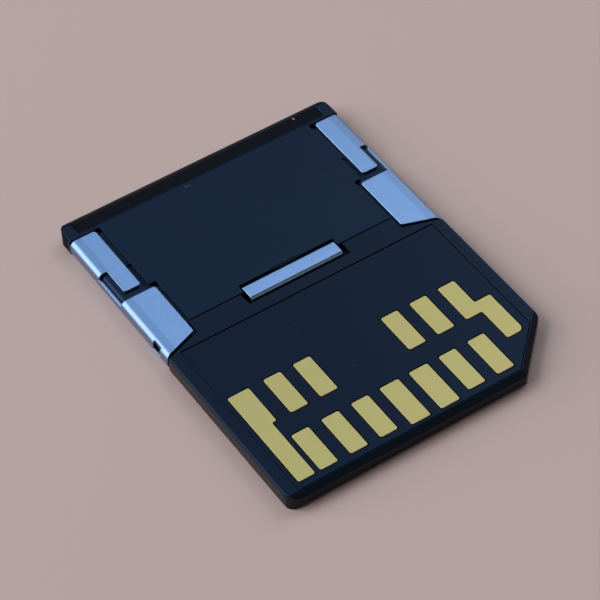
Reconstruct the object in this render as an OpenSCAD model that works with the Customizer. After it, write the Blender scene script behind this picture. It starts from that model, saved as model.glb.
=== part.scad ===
// Reduced-size memory card in the extender that brings it to the full card size.
// It lies label side down: X runs across the card, Y from the contact edge to the
// finger bevel of the extender, Z up to the contact side.
// The origin is the middle of the outline, on the label side.

/* [Overall size] */
// Width of the card and of the extender
card_w = 24; // [23.6:0.1:26]
// Length of the card with its extender
full_l = 32; // [31:0.5:36]
// Length of the card alone
card_l = 18; // [17.6:0.1:19]
// Thickness of the card and of the extender
card_t = 1.4; // [1.35:0.05:1.8]
// Radius of the card's left front corner, seen from above
corner_r = 1; // [0.5:0.1:1.3]
// Rounding along the edges of the mouldings
edge_r = 0.22; // [0.1:0.02:0.24]
// Joint line left open between card and extender
seam = 0.08; // [0.04:0.02:0.14]

/* [Card cover] */
// Leg of the cut corner that keys the card
key_cut = 4; // [3.4:0.1:4.3]
// Rounding of the two ends of the cut corner
key_r = 0.35; // [0.1:0.05:0.6]
// Width and drop of the bevel along the contact edge and the cut corner
nose_bevel = 0.4; // [0.2:0.05:0.45]
// Rim of the cover left and right of the board
rim_w = 1; // [0.8:0.05:1.15]
// Rim of the cover between the board and the contact edge
rim_front = 0.46; // [0.46:0.02:0.6]
// Land of the cover between the board and the extender
rear_land = 2.2; // [2:0.05:2.6]
// Wall of the cover on the label side
floor_t = 0.28; // [0.2:0.02:0.32]
// Depth of the label's bed in the cover
label_depth = 0.08; // [0.04:0.02:0.1]
// Border left around the label's bed
label_border = 1.2; // [0.8:0.1:2]
// Width of the ledge that the board rests on
ledge_w = 0.9; // [0.5:0.05:1.2]

/* [Board] */
// Thickness of the printed board
board_t = 0.36; // [0.3:0.02:0.4]
// Depth of the board's face below the rim
board_drop = 0.04; // [0.02:0.01:0.06]
// Gap around the board
board_gap = 0.05; // [0.03:0.01:0.08]
// Height of the two chips
chip_t = 0.5; // [0.3:0.02:0.54]
// Side of the square controller chip
controller_w = 5; // [4:0.1:5.6]
// Width of the memory chip
memory_w = 9; // [7:0.1:10]
// Length of the memory chip
memory_l = 10.5; // [8:0.1:11]
// Length of a small part, capacitor or resistor
small_l = 1; // [0.6:0.05:1.1]
// Width of a small part
small_w = 0.5; // [0.3:0.05:0.6]
// Height of a capacitor
capacitor_t = 0.45; // [0.3:0.05:0.5]
// Height of a resistor
resistor_t = 0.3; // [0.2:0.05:0.4]
// Distance between neighbouring small parts
small_pitch = 1.5; // [1.2:0.1:1.6]
// Distance from the card's right edge to the first small part of a row
small_first = 9.4; // [9:0.1:9.8]
// Distance from the contact edge to the row of capacitors
capacitor_row = 5.6; // [5:0.1:6]
// Distance from the contact edge to the row of resistors
resistor_row = 4.2; // [3.6:0.1:4.4]
// Gap between the wall of the chips' room and the memory chip
memory_inset = 1.2; // [0.4:0.1:1.6]
// Gap between the wall of the chips' room and the controller chip
controller_inset = 2; // [0.6:0.1:2.4]
// Gap between the chips and the rear wall of their room
chip_rear = 1; // [0.4:0.1:1.4]

/* [Contacts] */
// Width of an ordinary contact
contact_w = 1.44; // [1.3:0.02:1.6]
// Width of the two supply contacts
supply_w = 1.6; // [1.5:0.02:1.8]
// Length of a contact in the front row
front_len = 3.72; // [3.4:0.01:4]
// Length that the supply contacts reach further forward
supply_reach = 0.3; // [0.1:0.05:0.35]
// Distance from the contact edge to the front row
front_setback = 1.1; // [0.9:0.01:1.2]
// Distance from the card's left edge to the middle of the first contact in the front row
front_first = 3.97; // [3.9:0.01:4.05]
// Distance from the card's right edge to the middle of the last contact in the front row
front_last = 5.03; // [4.95:0.01:5.1]
// Length of a contact in the second row
second_len = 3.64; // [3.4:0.01:4]
// Distance from the contact edge to the second row
second_setback = 6.56; // [6.4:0.01:6.7]
// Distance from the card's left edge to the first contact of the left pair in the second row
left_pair = 5.14; // [5:0.01:5.2]
// Distance from the card's left edge to the long contact
long_edge = 1.44; // [1.34:0.01:1.5]
// Width of the long contact beside the front row
long_w = 1.37; // [1.3:0.01:1.5]
// Width that the long contact gains beside the second row
long_step = 0.4; // [0.2:0.05:0.5]
// Distance from the card's right edge to the middle of the stepped contact's rear half
step_edge = 3.78; // [3.7:0.01:3.85]
// Shift between the two halves of the stepped contact
step_shift = 1.36; // [1.3:0.01:1.4]
// Distance from the contact edge to the front end of the stepped contact
step_front = 3.47; // [3.3:0.01:3.6]
// Length of the front half of the stepped contact
step_len = 4.13; // [3.8:0.01:4.5]
// Corner radius of a contact
contact_r = 0.15; // [0.05:0.01:0.2]
// Outer front corner radius of the stepped contact
step_r = 0.45; // [0.2:0.05:0.6]
// Thickness of the contact plates
contact_t = 0.05; // [0.03:0.01:0.08]
// Depth of a contact's face below the board's face
contact_drop = 0.01; // [0.01:0.01:0.03]
// Open line between a contact and the solder mask
mask_gap = 0.07; // [0.04:0.01:0.08]

/* [Steel clips] */
// Thickness of the spring steel
sheet_t = 0.2; // [0.15:0.01:0.22]
// Outer radius of the fold along the side
fold_r = 0.5; // [0.4:0.02:0.56]
// Width of the front arm, from the side edge
arm_w = 2.9; // [2.6:0.05:3.1]
// Length of the front arm over the extender
arm_rear = 4.38; // [4:0.02:4.8]
// Length of the arm's inner edge over the card
arm_front = 0.99; // [0.8:0.01:1.2]
// Length of the arm's outer edge over the card
arm_nose = 2.05; // [1.8:0.05:2.1]
// Width of the rear lip, from the side edge
lip_w = 2.17; // [1.9:0.01:2.4]
// Distance from the extender's rear edge to the lip
lip_setback = 2.25; // [2.1:0.05:2.6]
// Gap between the lip and the arm
lip_gap = 0.75; // [0.5:0.05:0.9]
// Width of the notch in the lip's outer side
notch_w = 0.78; // [0.6:0.02:0.8]
// Length of the notch in the lip's outer side
notch_l = 2.5; // [2:0.1:3]
// Height of the side wall where the lip is notched
notch_z = 0.95; // [0.7:0.05:1.1]
// Corner radius of the lip and the arm
clip_r = 0.22; // [0.1:0.02:0.3]
// Distance from the card's rear edge to the window in the side wall
window_start = 0.05; // [0.03:0.01:0.1]
// Length of the window in the side wall
window_l = 0.95; // [0.6:0.05:1]
// Lower edge of the window in the side wall
window_z = 0.5; // [0.4:0.05:0.6]

/* [Extender] */
// Thickness of the label-side moulding
base_t = 0.6; // [0.5:0.02:0.64]
// Width of the open bed beside the lip
lip_bed = 0.48; // [0.3:0.02:0.6]
// Width of the open bed beside the arm
arm_bed = 0.35; // [0.2:0.02:0.5]
// Depth of the open beds below the steel
bed_depth = 0.12; // [0.06:0.02:0.2]
// Depth of the relief beside the notched end of the lip
relief_depth = 0.25; // [0.22:0.01:0.4]
// Radius of the rear corners, seen from above
rear_corner_r = 1.3; // [1:0.05:1.5]
// Rounding of the upper rear edge beside the finger bevel
rear_r = 0.7; // [0.4:0.05:0.75]
// Width of the finger bevel along the rear edge
scoop_w = 2.05; // [1.6:0.05:2.2]
// Drop of the finger bevel at the rear edge
scoop_drop = 0.24; // [0.2:0.02:0.34]
// Radius of the curve that leads into the finger bevel
scoop_r = 2.5; // [1:0.1:3]
// Rounding of the rear edge behind the finger bevel
scoop_edge_r = 0.4; // [0.2:0.02:0.4]
// Distance from the side edge to the end of the finger bevel
scoop_side = 1; // [0.8:0.1:2]

/* [Latch] */
// Width of the latch tongue
tongue_w = 8; // [7:0.1:9]
// Length of the tongue over the extender
tongue_rear = 0.55; // [0.45:0.05:0.7]
// Length of the tongue over the card
tongue_front = 0.85; // [0.7:0.05:1.1]
// Radius of the tongue's rounded nose
tongue_r = 0.34; // [0.26:0.02:0.4]
// Drop of the nose below the tongue's face
tongue_drop = 0.45; // [0.42:0.01:0.5]
// Depth of the card's pocket under the tongue
pocket_depth = 0.56; // [0.52:0.02:0.6]
// Length of the card's pocket
pocket_l = 1.15; // [1.15:0.01:1.4]
// Gap between the tongue's sides and the card's pocket
pocket_side = 0.46; // [0.2:0.02:0.6]
// Gap between the tongue's sides and its window in the extender
tongue_gap = 0.14; // [0.08:0.02:0.2]
// Gap behind the tongue in its window
tongue_back = 0.24; // [0.2:0.02:0.4]
// Width of the strap that carries the tongue
strap_w = 7.2; // [6:0.1:7.6]
// Length of the strap behind the tongue
strap_l = 4; // [3.4:0.1:4.6]
// Room above the strap for its travel
strap_room = 0.3; // [0.26:0.02:0.32]
// Radius of the two stakes that hold the strap
stake_r = 0.5; // [0.3:0.05:0.6]
// Distance between the two stakes
stake_span = 5; // [4:0.1:5.4]
// Distance from the strap's end to the stakes
stake_back = 0.95; // [0.9:0.05:1.2]
// Width of the relief behind the tongue's window
pick_w = 2.6; // [2:0.1:3]
// Length of the relief behind the tongue's window
pick_l = 0.6; // [0.4:0.05:0.8]
// Depth of the relief at the tongue's window
pick_depth = 0.16; // [0.06:0.02:0.2]

/* [Fits] */
// Clearance between the card and the steel that holds it
fit_gap = 0.06; // [0.04:0.01:0.08]
// Clearance beside a steel piece in its moulded bed
bed_gap = 0.05; // [0.03:0.01:0.08]
// Open line round the clips' arms on the card
arm_margin = 0.22; // [0.1:0.02:0.3]

/* [Hidden] */

// Colours of the finishes
cover_black = [0.09, 0.11, 0.15];
board_black = [0.08, 0.11, 0.15];
plate_black = [0.09, 0.12, 0.17];
contact_gold = [0.66, 0.65, 0.47];
steel_blue = [0.62, 0.68, 0.76];
chip_grey = [0.16, 0.16, 0.17];
capacitor_tan = [0.62, 0.5, 0.38];

// Places along the length
y_front = -full_l / 2;
y_rear = full_l / 2;
y_seam = y_front + card_l;
y_plate = y_seam + seam;
half_w = card_w / 2;
// Distance between neighbouring contacts
pitch = (card_w - front_first - front_last) / 6;
// A cut runs this far past the faces that it opens
past = 0.5;
// Straight stretches that stand for one corner arc
arc_steps = 6;

// Heights
z_mid = card_t / 2;
z_board = card_t - board_drop;
z_under = z_board - board_t;
z_cavity = label_depth + floor_t;
z_bed = card_t - sheet_t;

// Places of the steel
arm_y = y_seam + arm_rear;
lip_y0 = arm_y + lip_gap;
lip_y1 = y_rear - lip_setback;
strap_y = y_seam + tongue_rear + strap_l;

function unit(v) = v / norm(v);

// Points of the arc that rounds one corner of an outline
function corner_arc(before, p, after, r) =
    let (
        u = unit(before - p),
        v = unit(after - p),
        half = acos(u * v) / 2,
        middle = p + unit(u + v) * r / sin(half),
        from = p + u * r / tan(half) - middle,
        to = p + v * r / tan(half) - middle,
        start = atan2(from[1], from[0]),
        turn = ((atan2(to[1], to[0]) - start + 540) % 360) - 180
    )
    [for (i = [0 : arc_steps])
        let (angle = start + turn * i / arc_steps) middle + r * [cos(angle), sin(angle)]];

// Outline whose corners are rounded, each by its own radius
function rounded(points, radii) =
    let (n = len(points))
    [for (i = [0 : n - 1])
        each radii[i] == 0
            ? [points[i]]
            : corner_arc(points[(i + n - 1) % n], points[i], points[(i + 1) % n], radii[i])];

// The card's plan with its cut corner, moved in from the sides and the contact edge
function keyed_plan(side, front, rear) =
    let (
        x = half_w - side,
        y = y_front + front,
        slant = half_w - y_front - key_cut - front * sqrt(2)
    )
    [[-x, y], [slant + y, y], [x, x - slant], [x, rear], [-x, rear]];

// Bar section with round corners, standing on the ground line
module round_bar(w, h, r) {
    translate([r - w / 2, 0]) square([w - 2 * r, h]);
    translate([-w / 2, r]) square([w, h - 2 * r]);
    for (x = [-1, 1], z = [r, h - r])
        translate([x * (w / 2 - r), z]) circle(r, $fn = 48);
}

// Draws a section across the card and carries it along the length
module along_y(y0, y1) {
    translate([0, y1, 0]) rotate([90, 0, 0]) linear_extrude(y1 - y0) children();
}

// Draws a section seen from the side and carries it across the card
module across_x(w) {
    translate([-w / 2, 0, 0]) rotate([90, 0, 90]) linear_extrude(w) children();
}

// Wedge that bevels an upper edge, which runs along Y with the outside at +X
module edge_wedge(bevel) {
    run = card_w + card_l;
    translate([0, run / 2, 0]) rotate([90, 0, 0]) linear_extrude(run)
        polygon([[-bevel, card_t], [0, card_t - bevel], [past, card_t - bevel],
                 [past, card_t + past], [-bevel, card_t + past]]);
}

// Contact plans. The value grow widens a plan on every side.
function front_plan(i, grow) =
    let (
        supply = i == 3 || i == 4,
        x = front_first - half_w + pitch * i,
        w = (supply ? supply_w : contact_w) / 2 + grow,
        y = y_front + front_setback,
        reach = supply ? supply_reach : 0
    )
    [[x - w, y - reach - grow], [x + w, y - reach - grow],
     [x + w, y + front_len + grow], [x - w, y + front_len + grow]];

function second_plan(x, grow) =
    let (w = contact_w / 2 + grow, y = y_front + second_setback)
    [[x - w, y - grow], [x + w, y - grow], [x + w, y + second_len + grow], [x - w, y + second_len + grow]];

function long_plan(grow) =
    let (
        x = long_edge - half_w,
        y = y_front + front_setback,
        step = y_front + second_setback,
        end = step + second_len
    )
    [[x - grow, y - grow], [x + long_w + grow, y - grow], [x + long_w + grow, step - grow],
     [x + long_w + long_step + grow, step - grow], [x + long_w + long_step + grow, end + grow],
     [x - grow, end + grow]];

function stepped_plan(grow) =
    let (
        x = half_w - step_edge,
        w = contact_w / 2,
        y0 = y_front + step_front,
        y1 = y_front + second_setback,
        y2 = y0 + step_len,
        y3 = y1 + second_len
    )
    [[x - w - grow, y1 - grow], [x - w + step_shift - grow, y1 - grow],
     [x - w + step_shift - grow, y0 - grow], [x + w + step_shift + grow, y0 - grow],
     [x + w + step_shift + grow, y2 + grow], [x + w + grow, y2 + grow],
     [x + w + grow, y3 + grow], [x - w - grow, y3 + grow]];

// Plans of all contacts: front row, long one, left pair, right pair and stepped one
function contact_plans(grow) = concat(
    [for (i = [0 : 6]) front_plan(i, grow)],
    [long_plan(grow)],
    [for (i = [0 : 1]) second_plan(left_pair - half_w + pitch * i, grow)],
    [for (i = [2, 1]) second_plan(half_w - step_edge - pitch * i, grow)],
    [stepped_plan(grow)]
);

module contact_plan(k, grow) {
    plan = contact_plans(grow)[k];
    stepped = len(plan) == 8;
    polygon(rounded(plan, [for (i = [0 : len(plan) - 1]) stepped && i == 3 ? step_r : contact_r]));
}

module contact(k) {
    color(contact_gold)
        translate([0, 0, z_board - contact_drop - contact_t])
            linear_extrude(contact_t) contact_plan(k, 0);
}

// Printed board with an opening in its solder mask for each contact
module card_board() {
    rear = y_seam - rear_land - board_gap;
    color(board_black)
        difference() {
            translate([0, 0, z_under])
                linear_extrude(board_t)
                    polygon(keyed_plan(rim_w + board_gap, rim_front + board_gap, rear));
            for (k = [0 : 12])
                translate([0, 0, z_board - contact_drop - contact_t])
                    linear_extrude(past) contact_plan(k, mask_gap);
        }
}

// Room that a clip takes in what it wraps: outside the core and over the given plan
module clip_room(y0, y1, side, face) {
    inset = sheet_t + side;
    difference() {
        translate([0, 0, -past]) linear_extrude(card_t + 2 * past) children();
        translate([0, 0, sheet_t + face])
            along_y(y0 - past, y1 + past)
                round_bar(card_w - 2 * inset, card_t - 2 * (sheet_t + face), fold_r - sheet_t + side - face);
    }
}

// Plan of the arm over the card's corner, for the right side
function arm_tip(grow) = [
    [half_w - arm_w - grow, y_seam + past], [half_w - arm_w - grow, y_seam - arm_front - grow],
    [half_w + past, y_seam - arm_nose - grow - past * (arm_nose - arm_front) / arm_w],
    [half_w + past, y_seam + past]];

// Black moulding of the card: label wall, rims, ledge for the board and rear corners
module card_cover() {
    color(cover_black)
        difference() {
            intersection() {
                linear_extrude(card_t)
                    polygon(rounded(keyed_plan(0, 0, y_seam), [corner_r, key_r, key_r, key_r, key_r]));
                along_y(y_front - past, y_seam + past) round_bar(card_w, card_t, edge_r);
            }
            // Bevels along the contact edge and the cut corner, and the small ones below
            for (place = [[[0, y_front], -90], [[half_w - key_cut / 2, y_front + key_cut / 2], -45]]) {
                translate(place[0]) rotate([0, 0, place[1]]) edge_wedge(nose_bevel);
                translate([place[0][0], place[0][1], card_t])
                    rotate([0, 0, place[1]]) mirror([0, 0, 1]) edge_wedge(edge_r);
            }
            // Bed of the board, and the room for the chips below it
            translate([0, 0, z_under])
                linear_extrude(card_t) polygon(keyed_plan(rim_w, rim_front, y_seam - rear_land));
            translate([0, 0, z_cavity])
                linear_extrude(card_t)
                    polygon(keyed_plan(rim_w + ledge_w, rim_front + ledge_w, y_seam - rear_land - ledge_w));
            // Bed of the label
            translate([0, 0, -past])
                linear_extrude(past + label_depth)
                    polygon(keyed_plan(label_border, label_border, y_seam - rear_land - label_border));
            // Pocket under the latch tongue, open towards the extender
            translate([-tongue_w / 2 - pocket_side, y_seam - pocket_l, card_t - pocket_depth])
                cube([tongue_w + 2 * pocket_side, pocket_l + past, card_t]);
            // Rear corners stepped down on all sides for the clips' arms
            for (s = [0, 1]) mirror([s, 0, 0])
                clip_room(y_seam - card_l, y_seam, fit_gap, fit_gap) polygon(arm_tip(arm_margin));
        }
}

module controller_chip() {
    color(chip_grey)
        translate([half_w - rim_w - ledge_w - controller_inset - controller_w,
                   y_seam - rear_land - ledge_w - chip_rear - controller_w, z_under - chip_t])
            cube([controller_w, controller_w, chip_t]);
}

module memory_chip() {
    color(chip_grey)
        translate([rim_w + ledge_w + memory_inset - half_w,
                   y_seam - rear_land - ledge_w - chip_rear - memory_l, z_under - chip_t])
            cube([memory_w, memory_l, chip_t]);
}

// A row of small parts under the board
module small_row(count, setback, h) {
    for (i = [0 : count - 1])
        translate([half_w - small_first + small_pitch * i, y_front + setback, z_under - h])
            cube([small_l, small_w, h]);
}

module capacitors() {
    color(capacitor_tan)
        small_row(4, capacitor_row, capacitor_t);
}

module resistors() {
    color(chip_grey)
        small_row(3, resistor_row, resistor_t);
}

// Plan of a clip's upper side, for the right side: the lip and the arm, apart
function lip_plan() = rounded(
    [[half_w - lip_w, lip_y0], [half_w - notch_w, lip_y0], [half_w - notch_w, lip_y0 + notch_l],
     [half_w + past, lip_y0 + notch_l], [half_w + past, lip_y1], [half_w - lip_w, lip_y1]],
    [clip_r, clip_r, 0, 0, 0, clip_r]);

function arm_plan() = rounded(
    [[half_w - arm_w, arm_y], [half_w - arm_w, y_seam - arm_front],
     [half_w + past, y_seam - arm_nose - past * (arm_nose - arm_front) / arm_w],
     [half_w + past, arm_y]],
    [clip_r, clip_r, 0, 0]);

// Folded spring steel rail for the right side
module clip() {
    difference() {
        intersection() {
            along_y(y_seam - arm_nose - past, lip_y1)
                difference() {
                    round_bar(card_w, card_t, fold_r);
                    translate([0, sheet_t])
                        round_bar(card_w - 2 * sheet_t, card_t - 2 * sheet_t, fold_r - sheet_t);
                }
            union() {
                // Upper side: arm, notched lip and the side wall that joins them
                translate([0, 0, z_mid]) linear_extrude(card_t) polygon(arm_plan());
                translate([0, 0, z_mid]) linear_extrude(card_t) polygon(lip_plan());
                translate([half_w - fold_r, arm_y - past, z_mid])
                    cube([fold_r + past, lip_gap + notch_l + 2 * past, notch_z - z_mid]);
                // Label side: one flange with the same arm
                translate([0, 0, -past]) linear_extrude(z_mid + past) polygon(arm_plan());
                translate([half_w - lip_w, arm_y - past, -past])
                    cube([lip_w + past, lip_y1 - arm_y + past, z_mid + past]);
            }
        }
        // Window in the side wall beside the card's corner
        translate([half_w - sheet_t, y_seam - window_start - window_l, window_z])
            cube([sheet_t + past, window_l, card_t]);
    }
}

module clip_right() {
    color(steel_blue) clip();
}

module clip_left() {
    color(steel_blue) mirror([1, 0, 0]) clip();
}

// Outline of the extender's mouldings before the steel is let in
module extender_block() {
    intersection() {
        linear_extrude(card_t)
            polygon(rounded([[-half_w, y_plate], [half_w, y_plate], [half_w, y_rear], [-half_w, y_rear]],
                            [0, 0, rear_corner_r, rear_corner_r]));
        along_y(y_plate - past, y_rear + past) round_bar(card_w, card_t, edge_r);
        across_x(card_w + 2 * past)
            polygon(rounded([[y_plate - past, 0], [y_rear, 0], [y_rear, card_t], [y_plate - past, card_t]],
                            [0, edge_r, 0, 0]));
    }
}

// Side view of the extender where the finger bevel runs: a flat, a lead-in curve and a slope
function bevel_section() =
    let (
        low = scoop_r - scoop_drop,
        turn = atan2(scoop_w, low) - acos(scoop_r / norm([scoop_w, low])),
        knee = y_rear - scoop_w + scoop_r * tan(turn / 2)
    )
    rounded([[y_plate, 0], [y_rear, 0], [y_rear, card_t - scoop_drop], [knee, card_t], [y_plate, card_t]],
            [0, 0, scoop_edge_r, scoop_r, 0]);

// Side view of the corners beside the finger bevel
function corner_section() =
    rounded([[y_plate, 0], [y_rear, 0], [y_rear, card_t], [y_plate, card_t]], [0, 0, rear_r, 0]);

// What a side view leaves out along the upper rear edge
module rear_trim(w, section) {
    across_x(w)
        difference() {
            translate([y_rear - scoop_w, base_t]) square([scoop_w + past, card_t]);
            polygon(section);
        }
}

// Beds of the clips in the extender: open ones on the contact side, close ones on the label side
module clip_beds() {
    for (s = [0, 1]) mirror([s, 0, 0]) {
        intersection() {
            clip_room(y_plate, lip_y1, bed_gap, 0)
                union() {
                    translate([half_w - lip_w - lip_bed, y_plate - past])
                        square([lip_w + lip_bed + past, lip_y1 + 2 * bed_gap - y_plate + past]);
                    translate([half_w - arm_w - arm_bed, y_plate - past])
                        square([arm_w + arm_bed + past, arm_y + lip_gap / 2 - y_plate + past]);
                }
            translate([0, y_plate - past, z_mid]) cube([card_w, full_l, card_t]);
        }
        intersection() {
            clip_room(y_plate, lip_y1, bed_gap, 0)
                union() {
                    translate([half_w - lip_w - bed_gap, y_plate - past])
                        square([lip_w + bed_gap + past, lip_y1 + 2 * bed_gap - y_plate + past]);
                    translate([half_w - arm_w - bed_gap, y_plate - past])
                        square([arm_w + bed_gap + past, arm_y + bed_gap - y_plate + past]);
                }
            translate([0, y_plate - past, -past]) cube([card_w, full_l, z_mid + past]);
        }
    }
}

// Contact-side moulding of the extender
module extender_plate() {
    y_pick = y_seam + tongue_rear + tongue_back;
    color(plate_black)
        difference() {
            extender_block();
            translate([-card_w, y_seam, -past]) cube([2 * card_w, full_l, base_t + past]);
            clip_beds();
            // Finger bevel along the rear edge, and the rounded corners beside it
            rear_trim(card_w - 2 * scoop_side, bevel_section());
            for (s = [-1, 1])
                translate([s * (half_w + (past - scoop_side) / 2), 0, 0])
                    rear_trim(scoop_side + past, corner_section());
            // Channels beside the steel, deeper beside the notched end of the lip
            for (s = [0, 1]) mirror([s, 0, 0]) {
                translate([half_w - arm_w - arm_bed, y_plate - past, z_bed - bed_depth])
                    cube([arm_bed, arm_y + lip_gap / 2 - y_plate + past, card_t]);
                translate([half_w - lip_w - lip_bed, arm_y, z_bed - bed_depth])
                    cube([lip_bed, lip_y1 + 2 * bed_gap - arm_y, card_t]);
                translate([half_w - lip_w - lip_bed, lip_y0, z_bed - relief_depth])
                    cube([lip_bed - bed_gap, notch_l - bed_gap, card_t]);
            }
            // Window of the latch tongue, open towards the card
            translate([-tongue_w / 2 - tongue_gap, y_seam, 0])
                cube([tongue_w + 2 * tongue_gap, tongue_rear + tongue_back, card_t + past]);
            // Room for the strap and its travel
            translate([-strap_w / 2 - bed_gap, y_seam, 0])
                cube([strap_w + 2 * bed_gap, tongue_rear + strap_l + bed_gap, base_t + sheet_t + strap_room]);
            // Relief that slopes down to the window
            across_x(pick_w)
                polygon([[y_pick - tongue_back, card_t - pick_depth], [y_pick, card_t - pick_depth],
                         [y_pick + pick_l, card_t], [y_pick + pick_l, card_t + past],
                         [y_pick - tongue_back, card_t + past]]);
        }
}

// Label-side moulding of the extender, with the stakes of the latch
module extender_base() {
    color(cover_black) {
        difference() {
            extender_block();
            translate([-card_w, y_seam, base_t]) cube([2 * card_w, full_l, card_t]);
            clip_beds();
        }
        for (s = [-1, 1])
            translate([s * stake_span / 2, strap_y - stake_back, base_t / 2])
                cylinder(base_t / 2 + sheet_t, r = stake_r, $fn = 32);
    }
}

// Bent spring strip: strap under the plate, riser in the window, tongue and rounded nose
module latch_spring() {
    top = card_t - contact_drop;
    y0 = y_seam - tongue_front;
    y1 = y_seam + tongue_rear;
    inner = sheet_t / 2;
    color(steel_blue)
        difference() {
            union() {
                across_x(tongue_w)
                    polygon(rounded(
                        [[y1 - sheet_t, z_mid], [y1 - sheet_t, top - sheet_t], [y0 + sheet_t, top - sheet_t],
                         [y0 + sheet_t, top - tongue_drop], [y0, top - tongue_drop], [y0, top],
                         [y1, top], [y1, z_mid]],
                        [0, inner, tongue_r - sheet_t, 0, 0, tongue_r, inner, 0]));
                across_x(strap_w)
                    polygon(rounded(
                        [[strap_y, base_t], [y1 - sheet_t, base_t], [y1 - sheet_t, z_bed], [y1, z_bed],
                         [y1, base_t + sheet_t], [strap_y, base_t + sheet_t]],
                        [0, inner, 0, 0, inner, 0]));
            }
            for (s = [-1, 1])
                translate([s * stake_span / 2, strap_y - stake_back, 0])
                    cylinder(card_t, r = stake_r + bed_gap, $fn = 32);
        }
}

card_cover();
card_board();
contact(0);  // contact_01
contact(1);  // contact_02
contact(2);  // contact_03
contact(3);  // contact_04
contact(4);  // contact_05
contact(5);  // contact_06
contact(6);  // contact_07
contact(7);  // contact_08
contact(8);  // contact_09
contact(9);  // contact_10
contact(10);  // contact_11
contact(11);  // contact_12
contact(12);  // contact_13
controller_chip();
memory_chip();
capacitors();
resistors();
extender_plate();
extender_base();
clip_left();
clip_right();
latch_spring();
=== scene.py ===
"""Looks of a reduced-size memory card that is latched in its full-size extender.

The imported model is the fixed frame. This file gives every piece its finish, rounds off the sharp edges
of the pieces that show, and sets the stage. Everything is in metres.
"""

import math

import bmesh
import bpy
import numpy as np
from mathutils import Matrix, Vector


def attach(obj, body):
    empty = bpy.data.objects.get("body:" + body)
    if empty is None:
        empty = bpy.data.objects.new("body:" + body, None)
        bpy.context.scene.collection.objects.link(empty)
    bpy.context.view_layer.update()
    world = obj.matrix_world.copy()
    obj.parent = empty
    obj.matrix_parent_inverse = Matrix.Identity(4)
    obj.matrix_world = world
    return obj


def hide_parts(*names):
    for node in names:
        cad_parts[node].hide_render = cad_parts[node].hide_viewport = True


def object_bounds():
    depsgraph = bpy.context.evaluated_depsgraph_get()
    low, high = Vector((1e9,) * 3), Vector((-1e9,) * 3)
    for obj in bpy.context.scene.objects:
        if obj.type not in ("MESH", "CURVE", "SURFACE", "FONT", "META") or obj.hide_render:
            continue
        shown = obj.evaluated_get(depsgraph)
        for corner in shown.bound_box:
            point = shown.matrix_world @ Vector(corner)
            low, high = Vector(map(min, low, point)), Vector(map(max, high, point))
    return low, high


bl_info = {
    "name": "Memory card in its extender",
    "version": (1, 0, 0),
    "blender": (4, 5, 0),
    "location": "View3D > Sidebar > Memory card",
    "description": "Finishes of a reduced-size memory card that is latched in its extender",
    "category": "Object",
}

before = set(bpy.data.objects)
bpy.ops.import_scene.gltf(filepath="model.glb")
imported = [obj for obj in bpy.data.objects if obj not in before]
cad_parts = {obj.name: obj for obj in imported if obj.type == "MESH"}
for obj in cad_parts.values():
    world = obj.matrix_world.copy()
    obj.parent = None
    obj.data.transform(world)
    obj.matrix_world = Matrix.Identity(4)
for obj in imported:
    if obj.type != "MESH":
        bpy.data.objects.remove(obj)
CAD_LOW, CAD_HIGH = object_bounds()
MM = 0.001

# Edges that turn by more are sharp
SHARP_TURN = math.radians(28)
# Faces that turn by less are one flat face
FLAT_TURN = math.radians(0.4)
# Points nearer than this are one point
MERGE_DISTANCE = 1e-3 * MM
# Rays that round an edge off in the shading
EDGE_SAMPLES = 8
# Segments of a rounded edge in the mesh
EDGE_SEGMENTS = 2

# Scale of the mould texture and its depth
MOULD_GRAIN, MOULD_DEPTH = 5200.0, 0.006 * MM
BOARD_GRAIN, BOARD_DEPTH = 4200.0, 0.004 * MM
PLATING_GRAIN, PLATING_DEPTH = 14000.0, 0.0012 * MM
CHIP_GRAIN, CHIP_DEPTH = 9000.0, 0.002 * MM
# Depth of the rolling lines of the steel
ROLLED_DEPTH = 0.0006 * MM
# Specular level of the card, the extender and the chips
CARD_GLOSS, EXTENDER_GLOSS, CHIP_GLOSS = 0.36, 0.5, 0.35
# Roughness of the black mouldings and of the board
SATIN = 0.28
# Amount of fine dust on the outer pieces
DUSTY = 0.5
# Share of the dust's colour in a fine speck
DUST_STRENGTH = 0.12
# Share of the painted shade in the band beside the steel's fold
FOLD_SHADE_STRENGTH = 0.75
# Distance from the middle plane beyond which the clips' flats carry painted shade beside the fold
FOLD_SHADE_START = 11.1 * MM
# Specks of dust on the extender and a painted highlight line along its rear rim: middle x and y and the half
# sizes along x and y, all in mm, and the amount
PLATE_SPECKS_AND_RIM_HIGHLIGHT = (
    (8.9, 15.3, 0.09, 0.22, 0.5),
    (-1.85, 13.75, 0.06, 0.1, 0.3),
    (-1.6, 13.65, 0.06, 0.07, 0.25),
    (0.0, 15.62, 24.0, 0.16, 0.03),
)
# Matt parts, which are the finger bevel, the relief behind the latch and the board's openings round the
# contacts: low corner and high corner in mm, colour and roughness. The finger bevel's warm near-black is
# painted dark reflection, and the darker colour in the openings round the contacts is painted shade
FINGER_BEVEL_PAINTED_REFLECTION = ((-13.0, 14.0, 0.0), (13.0, 17.0, 1.37), (0.0065, 0.003, 0.0002), 1.0)
LATCH_RELIEF = ((-1.32, -0.5, 0.9), (1.32, 3.0, 1.396), (0.0085, 0.006, 0.002), 0.9)
OPENINGS_PAINTED_SHADE = ((-10.8, -15.3, 0.0), (10.8, -5.0, 1.359), (0.0015, 0.002, 0.0012), 0.9)

# Lamps: width and height in metres, and azimuth and elevation in degrees
WINDOW_LAMP = ((1.2, 1.1), -60, 28)
SKY_LAMP = ((1.35, 0.6), 27, 56)
WALL_LAMP = ((0.8, 0.9), 70, 32)
FRONT_LAMP = ((0.4, 0.4), 154, 35)
WHITE = (1.0, 1.0, 1.0)

# Bodies of the frame that the pieces ride on
CARD = "card"
EXTENDER = "extender"
LATCH = "latch"


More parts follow.
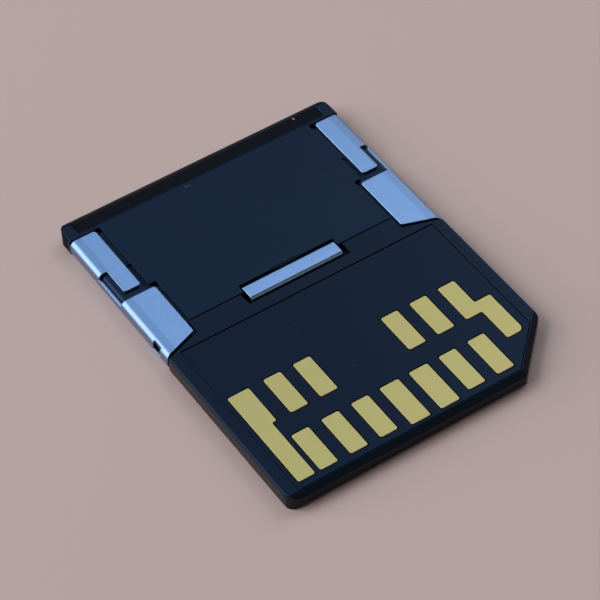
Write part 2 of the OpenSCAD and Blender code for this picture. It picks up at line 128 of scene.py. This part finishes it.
class CardEdges(bpy.types.PropertyGroup):
    """Radii that round off the sharp edges of the pieces"""

    moulding: bpy.props.FloatProperty(
        name="Moulding edges", description="Radius of the black mouldings' edges, in the shading",
        default=0.06 * MM, min=0, unit="LENGTH")
    board: bpy.props.FloatProperty(
        name="Board edges", description="Radius along the openings of the solder mask",
        default=0.045 * MM, min=0, unit="LENGTH")
    contact: bpy.props.FloatProperty(
        name="Contact edges", description="Radius along the edges of the contacts",
        default=0.015 * MM, min=0, unit="LENGTH")
    steel: bpy.props.FloatProperty(
        name="Steel edges", description="Radius of the spring steel's cut edges, in the shading",
        default=0.09 * MM, min=0, unit="LENGTH")


class CardColors(bpy.types.PropertyGroup):
    """Colours of the finishes"""

    cover: bpy.props.FloatVectorProperty(
        name="Card moulding", description="Black of the card's moulding",
        subtype="COLOR", size=3, min=0, max=1, default=(0.0045, 0.0045, 0.006))
    board: bpy.props.FloatVectorProperty(
        name="Solder mask", description="Black of the board's solder mask",
        subtype="COLOR", size=3, min=0, max=1, default=(0.0035, 0.0035, 0.004))
    extender: bpy.props.FloatVectorProperty(
        name="Extender moulding", description="Black of the extender's mouldings",
        subtype="COLOR", size=3, min=0, max=1, default=(0.003, 0.0035, 0.0045))
    sheen: bpy.props.FloatVectorProperty(
        name="Sheen", description="Blue tone of the mouldings' gloss",
        subtype="COLOR", size=3, min=0, max=1, default=(0.16, 0.4, 0.88))
    gold: bpy.props.FloatVectorProperty(
        name="Contact plating", description="Matt gold of the contacts",
        subtype="COLOR", size=3, min=0, max=1, default=(0.71, 0.56, 0.21))
    steel: bpy.props.FloatVectorProperty(
        name="Spring steel", description="Blue-grey of the spring steel",
        subtype="COLOR", size=3, min=0, max=1, default=(0.29, 0.42, 0.66))
    chip: bpy.props.FloatVectorProperty(
        name="Chip resin", description="Black of the chips and the resistors",
        subtype="COLOR", size=3, min=0, max=1, default=(0.02, 0.02, 0.022))
    ceramic: bpy.props.FloatVectorProperty(
        name="Capacitor ceramic", description="Tan of the capacitors",
        subtype="COLOR", size=3, min=0, max=1, default=(0.35, 0.22, 0.12))
    # The dust's colour also paints the highlight line along the extender's rear rim
    dust: bpy.props.FloatVectorProperty(
        name="Dust", description="Grey-white of the dust",
        subtype="COLOR", size=3, min=0, max=1, default=(0.62, 0.6, 0.58))
    floor: bpy.props.FloatVectorProperty(
        name="Floor", description="Pale warm tone of the floor",
        subtype="COLOR", size=3, min=0, max=1, default=(0.77, 0.565, 0.51))


class CardStage(bpy.types.PropertyGroup):
    """Camera and lamps"""

    azimuth: bpy.props.FloatProperty(
        name="Azimuth", description="Camera's turn about the card, from the contact edge",
        default=math.radians(-31.369), subtype="ANGLE")
    elevation: bpy.props.FloatProperty(
        name="Elevation", description="Camera's height above the table",
        default=math.radians(47.382), subtype="ANGLE")
    roll: bpy.props.FloatProperty(
        name="Roll", description="Camera's turn about its own axis",
        default=math.radians(-3.012), subtype="ANGLE")
    distance: bpy.props.FloatProperty(
        name="Distance", description="Camera's distance from the middle of the card",
        default=195.001 * MM, min=0, unit="LENGTH")
    lens: bpy.props.FloatProperty(
        name="Lens", description="Focal length in millimetres", default=160.03, min=1)
    shift_x: bpy.props.FloatProperty(
        name="Shift across", description="Share of the width that the frame is shifted by", default=-0.01258)
    shift_y: bpy.props.FloatProperty(
        name="Shift up", description="Share of the width that the frame is shifted by", default=-0.00357)
    floor_side: bpy.props.FloatProperty(
        name="Floor", description="Side of the square floor", default=1.2, min=0, unit="LENGTH")
    window_level: bpy.props.FloatProperty(
        name="Window lamp", description="Brightness of the soft lamp behind the card's left side",
        default=2.7, min=0)
    window_tint: bpy.props.FloatVectorProperty(
        name="Window tint", description="Cool white of the window lamp",
        subtype="COLOR", size=3, min=0, max=1, default=(0.93, 0.97, 1.0))
    sky_level: bpy.props.FloatProperty(
        name="Sky lamp", description="Brightness of the wide soft lamp high behind the card",
        default=1.09, min=0)
    sky_tint: bpy.props.FloatVectorProperty(
        name="Sky tint", description="Pale blue of the sky lamp",
        subtype="COLOR", size=3, min=0, max=1, default=(0.55, 0.77, 1.0))
    wall_level: bpy.props.FloatProperty(
        name="Wall lamp", description="Brightness of the soft lamp on the card's right side",
        default=0.85, min=0)
    front_level: bpy.props.FloatProperty(
        name="Front lamp", description="Brightness of the small weak lamp in front of the card",
        default=0.6, min=0)
    front_tint: bpy.props.FloatVectorProperty(
        name="Front tint", description="Warm white of the front lamp",
        subtype="COLOR", size=3, min=0, max=1, default=(1.0, 0.8, 0.6))
    room_level: bpy.props.FloatProperty(
        name="Room light", description="Strength of the even light of the room", default=0.05, min=0)


def settings():
    """The property groups, as (edges, colours, stage)."""
    scene = bpy.context.scene
    return scene.card_edges, scene.card_colors, scene.card_stage


def feed(tree, socket, value):
    """Links another socket to this one, or sets its value."""
    if isinstance(value, bpy.types.NodeSocket):
        tree.links.new(value, socket)
    else:
        socket.default_value = value


def add(tree, kind, **values):
    """Adds a shader node. Names of sockets are given with underscores, and of settings as they are."""
    node = tree.nodes.new(kind)
    for name, value in values.items():
        socket = node.inputs.get(name.replace("_", " "))
        if socket is None:
            setattr(node, name, value)
        else:
            feed(tree, socket, value)
    return node


def math_node(tree, operation, a, b):
    """Result of a sum, product or other operation on two values."""
    node = tree.nodes.new("ShaderNodeMath")
    node.operation = operation
    for socket, value in zip(node.inputs, (a, b)):
        feed(tree, socket, value)
    return node.outputs[0]


def vector_node(tree, operation, a, b=None):
    """Vector that comes of an operation on one or two vectors."""
    node = tree.nodes.new("ShaderNodeVectorMath")
    node.operation = operation
    tree.links.new(a, node.inputs[0])
    if b:
        tree.links.new(b, node.inputs[1])
    return node.outputs[0]


def blend(tree, share, a, b):
    """Colour between a and b."""
    node = tree.nodes.new("ShaderNodeMix")
    node.data_type = "RGBA"
    for socket, value in ((node.inputs[0], share), (node.inputs[6], a), (node.inputs[7], b)):
        feed(tree, socket, value)
    return node.outputs[2]


def new_group(name, inputs, outputs):
    """Empty shader group. Inputs and outputs are lists of (name, kind of socket)."""
    tree = bpy.data.node_groups.new(name, "ShaderNodeTree")
    for label, kind in inputs:
        tree.interface.new_socket(name=label, in_out="INPUT", socket_type=kind)
    for label, kind in outputs:
        tree.interface.new_socket(name=label, in_out="OUTPUT", socket_type=kind)
    return tree, tree.nodes.new("NodeGroupInput"), tree.nodes.new("NodeGroupOutput")


def grain_group():
    """Spark-eroded mould texture: fine pits over soft waves.

    The height is a fine noise plus a third of a coarser one, laid on the rounded normal. Tone is a slow
    cloud for colour and roughness.
    """
    tree, given, out = new_group(
        "moulded_grain",
        [("Vector", "NodeSocketVector"), ("Rounded", "NodeSocketVector"), ("Grain", "NodeSocketFloat"),
         ("Depth", "NodeSocketFloat")],
        [("Normal", "NodeSocketVector"), ("Tone", "NodeSocketFloat")],
    )
    fine = add(tree, "ShaderNodeTexNoise", Vector=given.outputs["Vector"], Scale=given.outputs["Grain"],
               Detail=3.0, Roughness=0.62)
    coarse = add(tree, "ShaderNodeTexNoise", Vector=given.outputs["Vector"],
                 Scale=math_node(tree, "MULTIPLY", given.outputs["Grain"], 0.22), Detail=2.0)
    waves = math_node(tree, "MULTIPLY", coarse.outputs["Fac"], 0.35)
    height = math_node(tree, "ADD", fine.outputs["Fac"], waves)
    bump = add(tree, "ShaderNodeBump", Strength=1.0, Distance=given.outputs["Depth"], Height=height,
               Normal=given.outputs["Rounded"])
    cloud = add(tree, "ShaderNodeTexNoise", Vector=given.outputs["Vector"], Scale=260.0, Detail=3.0)
    tree.links.new(bump.outputs["Normal"], out.inputs["Normal"])
    tree.links.new(cloud.outputs["Fac"], out.inputs["Tone"])
    return tree


def rolled_group():
    """Rolling lines of sheet steel: a noise that is drawn out along the card's length."""
    tree, given, out = new_group(
        "rolled_lines",
        [("Vector", "NodeSocketVector"), ("Rounded", "NodeSocketVector"), ("Depth", "NodeSocketFloat")],
        [("Normal", "NodeSocketVector"), ("Streaks", "NodeSocketFloat")],
    )
    stretched = add(tree, "ShaderNodeMapping", Vector=given.outputs["Vector"], Scale=(9000.0, 420.0, 9000.0))
    lines = add(tree, "ShaderNodeTexNoise", Vector=stretched.outputs["Vector"], Scale=1.0, Detail=4.0,
                Roughness=0.7)
    bump = add(tree, "ShaderNodeBump", Strength=1.0, Distance=given.outputs["Depth"],
               Height=lines.outputs["Fac"], Normal=given.outputs["Rounded"])
    tree.links.new(bump.outputs["Normal"], out.inputs["Normal"])
    tree.links.new(lines.outputs["Fac"], out.inputs["Streaks"])
    return tree


def dust_group():
    """Sparse fine dust: small cells of a crackle pattern, thinned out by a slow noise."""
    tree, given, out = new_group(
        "fine_dust",
        [("Vector", "NodeSocketVector"), ("Amount", "NodeSocketFloat")],
        [("Mask", "NodeSocketFloat")],
    )
    cells = add(tree, "ShaderNodeTexVoronoi", Vector=given.outputs["Vector"], Scale=1500.0, Randomness=1.0)
    clouds = add(tree, "ShaderNodeTexNoise", Vector=given.outputs["Vector"], Scale=500.0, Detail=2.0)
    reach = math_node(tree, "MULTIPLY", math_node(tree, "SUBTRACT", clouds.outputs["Fac"], 0.56),
                      given.outputs["Amount"])
    speck = math_node(tree, "LESS_THAN", cells.outputs["Distance"], reach)
    tree.links.new(speck, out.inputs["Mask"])
    return tree


def speck_group():
    """Soft-edged oval mask: the length of the offset from the middle, each axis over its half size,
    compared with 1."""
    tree, given, out = new_group(
        "oval_speck",
        [("Vector", "NodeSocketVector"), ("Middle", "NodeSocketVector"), ("Size", "NodeSocketVector")],
        [("Mask", "NodeSocketFloat")],
    )
    offset = vector_node(tree, "SUBTRACT", given.outputs["Vector"], given.outputs["Middle"])
    ratio = vector_node(tree, "DIVIDE", offset, given.outputs["Size"])
    length = add(tree, "ShaderNodeVectorMath", operation="LENGTH")
    tree.links.new(ratio, length.inputs[0])
    fade = add(tree, "ShaderNodeMapRange", From_Min=1.0, From_Max=0.5, To_Min=0.0, To_Max=1.0)
    tree.links.new(length.outputs["Value"], fade.inputs["Value"])
    tree.links.new(fade.outputs["Result"], out.inputs["Mask"])
    return tree


def matt_group():
    """Mask of an upright box: the largest of the offsets from its middle, each over its half size,
    is under 1."""
    tree, given, out = new_group(
        "matt_box",
        [("Vector", "NodeSocketVector"), ("Middle", "NodeSocketVector"), ("Size", "NodeSocketVector")],
        [("Mask", "NodeSocketFloat")],
    )
    offset = vector_node(tree, "SUBTRACT", given.outputs["Vector"], given.outputs["Middle"])
    ratio = vector_node(tree, "DIVIDE", offset, given.outputs["Size"])
    parts = add(tree, "ShaderNodeSeparateXYZ", Vector=vector_node(tree, "ABSOLUTE", ratio))
    widest = math_node(tree, "MAXIMUM", parts.outputs["X"], parts.outputs["Y"])
    widest = math_node(tree, "MAXIMUM", widest, parts.outputs["Z"])
    tree.links.new(math_node(tree, "LESS_THAN", widest, 1.0), out.inputs["Mask"])
    return tree


def fold_shade_group():
    """Mask of a soft band of painted shade along the card's length: 1 where the distance from the middle
    plane x = 0 is past Start, 0 nearer than Start less a tenth of a millimetre, and a slow cloud for the
    steel's tone."""
    tree, given, out = new_group(
        "fold_shade_band",
        [("Vector", "NodeSocketVector"), ("Start", "NodeSocketFloat")],
        [("Mask", "NodeSocketFloat"), ("Cloud", "NodeSocketFloat")],
    )
    parts = add(tree, "ShaderNodeSeparateXYZ", Vector=given.outputs["Vector"])
    side = math_node(tree, "ABSOLUTE", parts.outputs["X"], 0.0)
    past = math_node(tree, "SUBTRACT", side, given.outputs["Start"])
    fade = add(tree, "ShaderNodeMapRange", From_Min=-0.1 * MM, From_Max=0.0)
    tree.links.new(past, fade.inputs["Value"])
    cloud = add(tree, "ShaderNodeTexNoise", Vector=given.outputs["Vector"], Scale=1600.0, Detail=4.0,
                Roughness=0.65)
    tree.links.new(fade.outputs["Result"], out.inputs["Mask"])
    tree.links.new(cloud.outputs["Fac"], out.inputs["Cloud"])
    return tree


def use_group(tree, group, **values):
    """Places a shared group in a material. Names of inputs are given with underscores."""
    node = tree.nodes.new("ShaderNodeGroup")
    node.node_tree = group
    for name, value in values.items():
        feed(tree, node.inputs[name.replace("_", " ")], value)
    return node


def shared_group(name, make):
    """The shared group of that name, made at its first use."""
    return bpy.data.node_groups.get(name) or make()


def new_material(name):
    """Material with a bare Principled shader. Returns (material, tree, shader, object coordinates)."""
    material = bpy.data.materials.new(name)
    material.use_nodes = True
    tree = material.node_tree
    tree.nodes.clear()
    shader = tree.nodes.new("ShaderNodeBsdfPrincipled")
    output = tree.nodes.new("ShaderNodeOutputMaterial")
    tree.links.new(shader.outputs[0], output.inputs["Surface"])
    place = tree.nodes.new("ShaderNodeTexCoord")
    return material, tree, shader, place.outputs["Object"]


def set_range(tree, value, low, high):
    """Maps the 0 to 1 of a texture to low to high."""
    node = add(tree, "ShaderNodeMapRange", To_Min=low, To_Max=high)
    tree.links.new(value, node.inputs["Value"])
    return node.outputs["Result"]


def scaled(color, factor):
    """The colour times a factor, with the alpha that a socket asks for."""
    return tuple(min(1.0, factor * c) for c in color) + (1.0,)


def rounded_edges(tree, radius):
    """Normal that turns smoothly across the edges within the radius."""
    return add(tree, "ShaderNodeBevel", samples=EDGE_SAMPLES, Radius=radius).outputs["Normal"]


def moulding_material(name, color, gloss, rough, grain, depth, dust_amount, specks_and_highlights=(), matt=()):
    """Satin black moulding with mould texture, slow changes of tone, a blue sheen and a trace of dust.

    A speck is (middle x and y, half sizes, amount); most specks are dust, and the line along the extender's
    rear rim is a painted highlight. A matt part is (low corner, high corner, colour, roughness); the colour
    of the finger bevel is painted dark reflection, and that of the board's openings round the contacts is
    painted shade.
    """
    material, tree, shader, place = new_material(name)
    edges, colors, _ = settings()
    skin = use_group(tree, shared_group("moulded_grain", grain_group), Vector=place, Grain=grain, Depth=depth,
                     Rounded=rounded_edges(tree, edges.moulding))
    dust = use_group(tree, shared_group("fine_dust", dust_group), Vector=place, Amount=dust_amount)
    tone = blend(tree, skin.outputs["Tone"], scaled(color, 0.82), scaled(color, 1.2))
    dull = set_range(tree, skin.outputs["Tone"], rough - 0.05, rough + 0.05)
    # Matt parts: the finger bevel's colour is painted dark reflection, the openings' colour is painted shade
    for low, high, matt_and_painted_color, matt_rough in matt:
        area = use_group(tree, shared_group("matt_box", matt_group), Vector=place,
                         Middle=[(a + b) / 2 * MM for a, b in zip(low, high)],
                         Size=[(b - a) / 2 * MM for a, b in zip(low, high)])
        tone = blend(tree, area.outputs["Mask"], tone, scaled(matt_and_painted_color, 1.0))
        dull = math_node(tree, "MAXIMUM", dull, math_node(tree, "MULTIPLY", area.outputs["Mask"], matt_rough))
    dust_and_highlight = math_node(tree, "MULTIPLY", dust.outputs["Mask"], DUST_STRENGTH)
    # Specks of dust, and the painted highlight line along the extender's rear rim, in the dust's colour
    for x, y, half_x, half_y, amount in specks_and_highlights:
        speck = use_group(tree, shared_group("oval_speck", speck_group), Vector=place,
                          Middle=(x * MM, y * MM, CAD_HIGH.z), Size=(half_x * MM, half_y * MM, 1.0))
        dust_and_highlight = math_node(tree, "MAXIMUM", dust_and_highlight, math_node(tree, "MULTIPLY", speck.outputs["Mask"], amount))
    tree.links.new(blend(tree, dust_and_highlight, tone, scaled(colors.dust, 1.0)), shader.inputs["Base Color"])
    tree.links.new(dull, shader.inputs["Roughness"])
    tree.links.new(skin.outputs["Normal"], shader.inputs["Normal"])
    shader.inputs["Specular IOR Level"].default_value = gloss
    shader.inputs["Specular Tint"].default_value = scaled(colors.sheen, 1.0)
    return material


def gold_material(name):
    """Matt gold plating over etched copper: fine grain, slightly uneven tone."""
    material, tree, shader, place = new_material(name)
    edges, colors, _ = settings()
    skin = use_group(tree, shared_group("moulded_grain", grain_group), Vector=place, Grain=PLATING_GRAIN,
                     Depth=PLATING_DEPTH, Rounded=rounded_edges(tree, edges.contact))
    tone = blend(tree, skin.outputs["Tone"], scaled(colors.gold, 0.93), scaled(colors.gold, 1.06))
    tree.links.new(tone, shader.inputs["Base Color"])
    tree.links.new(set_range(tree, skin.outputs["Tone"], 0.42, 0.54), shader.inputs["Roughness"])
    tree.links.new(skin.outputs["Normal"], shader.inputs["Normal"])
    shader.inputs["Metallic"].default_value = 1.0
    return material


def steel_material(name):
    """Bright rolled spring steel: lines along the length, a slow cloud and a band of painted shade beside the
    fold.
    """
    material, tree, shader, place = new_material(name)
    edges, colors, _ = settings()
    color = colors.steel
    lines = use_group(tree, shared_group("rolled_lines", rolled_group), Vector=place, Depth=ROLLED_DEPTH,
                      Rounded=rounded_edges(tree, edges.steel))
    fold = use_group(tree, shared_group("fold_shade_band", fold_shade_group), Vector=place, Start=FOLD_SHADE_START)
    summed = math_node(tree, "ADD", lines.outputs["Streaks"], fold.outputs["Cloud"])
    mixed = math_node(tree, "MULTIPLY", summed, 0.5)
    tone = blend(tree, set_range(tree, mixed, -0.5, 1.5), scaled(color, 0.94), scaled(color, 1.1))
    # Painted shade: the flats are darker in the band beside the fold
    shade = math_node(tree, "MULTIPLY", fold.outputs["Mask"], FOLD_SHADE_STRENGTH)
    tree.links.new(blend(tree, shade, tone, scaled(color, 0.8)), shader.inputs["Base Color"])
    tree.links.new(set_range(tree, lines.outputs["Streaks"], 0.26, 0.4), shader.inputs["Roughness"])
    tree.links.new(lines.outputs["Normal"], shader.inputs["Normal"])
    shader.inputs["Metallic"].default_value = 1.0
    return material


def plain_material(name, color, rough):
    """Finish of the small inner parts: one colour with a fine grain."""
    return moulding_material(name, color, CHIP_GLOSS, rough, CHIP_GRAIN, CHIP_DEPTH, 0.0)


def paint(obj, material):
    """Puts one material on every face of a piece."""
    obj.data.materials.clear()
    obj.data.materials.append(material)


def merged_copy(node, name, body, material, width=0):
    """Piece with the form of a CAD node, merged into one surface.

    With a width its sharp edges are rounded off in the mesh as well as in the shading of its finish.
    """
    mesh = bpy.data.meshes.new(name)
    shape = bmesh.new()
    shape.from_mesh(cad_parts[node].data)
    bmesh.ops.remove_doubles(shape, verts=shape.verts, dist=MERGE_DISTANCE)
    bmesh.ops.dissolve_limit(shape, angle_limit=FLAT_TURN, verts=shape.verts, edges=shape.edges)
    for face in shape.faces:
        face.smooth = True
    for edge in shape.edges:
        edge.smooth = bool(width) or not edge.is_manifold or edge.calc_face_angle() < SHARP_TURN
    shape.to_mesh(mesh)
    shape.free()
    piece = bpy.data.objects.new(name, mesh)
    bpy.context.scene.collection.objects.link(piece)
    if width:
        bevel = piece.modifiers.new("edges", "BEVEL")
        bevel.width = width
        bevel.segments = EDGE_SEGMENTS
        bevel.limit_method = "ANGLE"
        bevel.angle_limit = SHARP_TURN
        bevel.use_clamp_overlap = True
    weighted = piece.modifiers.new("flat_faces", "WEIGHTED_NORMAL")
    weighted.weight = 100
    weighted.keep_sharp = True
    paint(piece, material)
    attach(piece, body)
    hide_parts(node)
    return piece


class CARD_OT_mouldings(bpy.types.Operator):
    """Finishes the card's cover and board and the extender's two mouldings"""

    bl_idname = "memory_card.mouldings"
    bl_label = "Mouldings and board"

    def execute(self, context):
        edges, colors, _ = settings()
        cover = moulding_material("card_moulding", colors.cover, CARD_GLOSS, SATIN, MOULD_GRAIN, MOULD_DEPTH,
                                  DUSTY)
        # The board's openings round the contacts get painted shade
        mask = moulding_material("solder_mask", colors.board, CARD_GLOSS, SATIN, BOARD_GRAIN, BOARD_DEPTH,
                                 DUSTY, matt=(OPENINGS_PAINTED_SHADE,))
        # The extender's finger bevel gets a painted dark reflection and its rear rim a painted highlight line
        outer = moulding_material("extender_moulding", colors.extender, EXTENDER_GLOSS, SATIN, MOULD_GRAIN,
                                  MOULD_DEPTH, DUSTY, PLATE_SPECKS_AND_RIM_HIGHLIGHT, (FINGER_BEVEL_PAINTED_REFLECTION, LATCH_RELIEF))
        merged_copy("card_cover", "cover_moulding", CARD, cover)
        merged_copy("card_board", "masked_board", CARD, mask, edges.board)
        merged_copy("extender_plate", "plate_moulding", EXTENDER, outer)
        merged_copy("extender_base", "base_moulding", EXTENDER, outer)
        return {"FINISHED"}


class CARD_OT_contacts(bpy.types.Operator):
    """Finishes the thirteen gold contacts"""

    bl_idname = "memory_card.contacts"
    bl_label = "Contacts"

    def execute(self, context):
        edges = settings()[0]
        gold = gold_material("contact_gold")
        for node in sorted(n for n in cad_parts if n.startswith("contact_")):
            name = node.replace("contact", "plated_contact")
            merged_copy(node, name, CARD, gold, edges.contact)
        return {"FINISHED"}


class CARD_OT_steel(bpy.types.Operator):
    """Finishes the two folded clips and the latch spring"""

    bl_idname = "memory_card.steel"
    bl_label = "Spring steel"

    def execute(self, context):
        steel = steel_material("spring_steel")
        merged_copy("clip_left", "folded_clip_left", EXTENDER, steel)
        merged_copy("clip_right", "folded_clip_right", EXTENDER, steel)
        merged_copy("latch_spring", "bent_latch", LATCH, steel)
        return {"FINISHED"}


class CARD_OT_inner_parts(bpy.types.Operator):
    """Finishes the chips, capacitors and resistors that the card holds inside"""

    bl_idname = "memory_card.inner_parts"
    bl_label = "Inner parts"

    def execute(self, context):
        colors = settings()[1]
        resin = plain_material("chip_resin", colors.chip, 0.5)
        ceramic = plain_material("capacitor_ceramic", colors.ceramic, 0.45)
        for node in ("controller_chip", "memory_chip", "resistors"):
            paint(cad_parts[node], resin)
        paint(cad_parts["capacitors"], ceramic)
        return {"FINISHED"}


class CARD_OT_stage(bpy.types.Operator):
    """Sets the pale floor, the soft lamps and the camera"""

    bl_idname = "memory_card.stage"
    bl_label = "Stage"

    def execute(self, context):
        stage = settings()[2]
        make_floor(stage)
        make_lamp("window_lamp", stage.window_level, stage.window_tint, *WINDOW_LAMP)
        make_lamp("sky_lamp", stage.sky_level, stage.sky_tint, *SKY_LAMP)
        make_lamp("wall_lamp", stage.wall_level, WHITE, *WALL_LAMP)
        make_lamp("front_lamp", stage.front_level, stage.front_tint, *FRONT_LAMP)
        make_world(stage)
        make_camera(stage)
        return {"FINISHED"}


def make_floor(stage):
    """Plain pale floor at the height of the card's label side."""
    half = stage.floor_side / 2
    points = np.array([[-half, -half, 0], [half, -half, 0], [half, half, 0], [-half, half, 0]])
    mesh = bpy.data.meshes.new("floor")
    mesh.from_pydata((points + [0, 0, CAD_LOW.z]).tolist(), [], [[0, 1, 2, 3]])
    floor = bpy.data.objects.new("floor", mesh)
    bpy.context.scene.collection.objects.link(floor)
    material, tree, shader, _ = new_material("floor")
    shader.inputs["Base Color"].default_value = scaled(settings()[1].floor, 1.0)
    shader.inputs["Roughness"].default_value = 0.9
    shader.inputs["Specular IOR Level"].default_value = 0.1
    paint(floor, material)


def make_lamp(name, level, tint, size, azimuth, elevation):
    """Soft rectangular lamp a metre away that faces the card. The azimuth runs to the right from the
    card's rear, both angles are in degrees, and the power follows from the brightness and the area."""
    turn, rise = math.radians(azimuth), math.radians(elevation)
    place = Vector((math.sin(turn) * math.cos(rise), math.cos(turn) * math.cos(rise), math.sin(rise)))
    light = bpy.data.lights.new(name, "AREA")
    light.color = tint
    light.shape = "RECTANGLE"
    light.size, light.size_y = size
    light.energy = level * math.pi * size[0] * size[1]
    lamp = bpy.data.objects.new(name, light)
    lamp.location = place
    lamp.rotation_mode = "QUATERNION"
    lamp.rotation_quaternion = (-place).to_track_quat("-Z", "Y")
    bpy.context.scene.collection.objects.link(lamp)


def make_world(stage):
    """Even room light."""
    world = bpy.data.worlds.new("room")
    bpy.context.scene.world = world
    world.use_nodes = True
    background = world.node_tree.nodes["Background"]
    background.inputs["Color"].default_value = scaled(WHITE, 1.0)
    background.inputs["Strength"].default_value = stage.room_level


def make_camera(stage):
    """Camera on a sphere about the middle of the card's label side, turned by the roll."""
    az, el, roll = stage.azimuth, stage.elevation, stage.roll
    back = Vector((math.sin(az) * math.cos(el), -math.cos(az) * math.cos(el), math.sin(el)))
    right = Vector((math.cos(az), math.sin(az), 0))
    up = back.cross(right)
    turned_right = math.cos(roll) * right + math.sin(roll) * up
    turned_up = math.cos(roll) * up - math.sin(roll) * right
    data = bpy.data.cameras.new("camera")
    data.sensor_width = 36.0
    data.lens = stage.lens
    data.shift_x = stage.shift_x
    data.shift_y = stage.shift_y
    data.clip_start = 0.01
    data.clip_end = 10.0
    camera = bpy.data.objects.new("camera", data)
    camera.matrix_world = Matrix((
        (turned_right.x, turned_up.x, back.x, back.x * stage.distance),
        (turned_right.y, turned_up.y, back.y, back.y * stage.distance),
        (turned_right.z, turned_up.z, back.z, back.z * stage.distance),
        (0, 0, 0, 1),
    ))
    bpy.context.scene.collection.objects.link(camera)
    bpy.context.scene.camera = camera
    bpy.context.scene.view_settings.view_transform = "Standard"


class CARD_PT_panel(bpy.types.Panel):
    """Lists the steps and the settings in the 3D view's sidebar"""

    bl_label = "Memory card"
    bl_idname = "CARD_PT_panel"
    bl_space_type = "VIEW_3D"
    bl_region_type = "UI"
    bl_category = "Memory card"

    def draw(self, context):
        for group in settings():
            for name in group.__annotations__:
                self.layout.prop(group, name)
        for operator in OPERATORS:
            self.layout.operator(operator.bl_idname)


GROUPS = (CardEdges, CardColors, CardStage)
OPERATORS = (CARD_OT_mouldings, CARD_OT_contacts, CARD_OT_steel, CARD_OT_inner_parts, CARD_OT_stage)


def register():
    """Registers the classes and puts the settings on the scene."""
    for item in (*GROUPS, *OPERATORS, CARD_PT_panel):
        bpy.utils.register_class(item)
    bpy.types.Scene.card_edges = bpy.props.PointerProperty(type=CardEdges)
    bpy.types.Scene.card_colors = bpy.props.PointerProperty(type=CardColors)
    bpy.types.Scene.card_stage = bpy.props.PointerProperty(type=CardStage)


def unregister():
    """Takes the settings off the scene and unregisters the classes."""
    del bpy.types.Scene.card_stage
    del bpy.types.Scene.card_colors
    del bpy.types.Scene.card_edges
    for item in reversed((*GROUPS, *OPERATORS, CARD_PT_panel)):
        bpy.utils.unregister_class(item)


def main():
    """Runs every step in order."""
    register()
    bpy.ops.memory_card.mouldings()
    bpy.ops.memory_card.contacts()
    bpy.ops.memory_card.steel()
    bpy.ops.memory_card.inner_parts()
    bpy.ops.memory_card.stage()


if __name__ == "__main__":
    main()
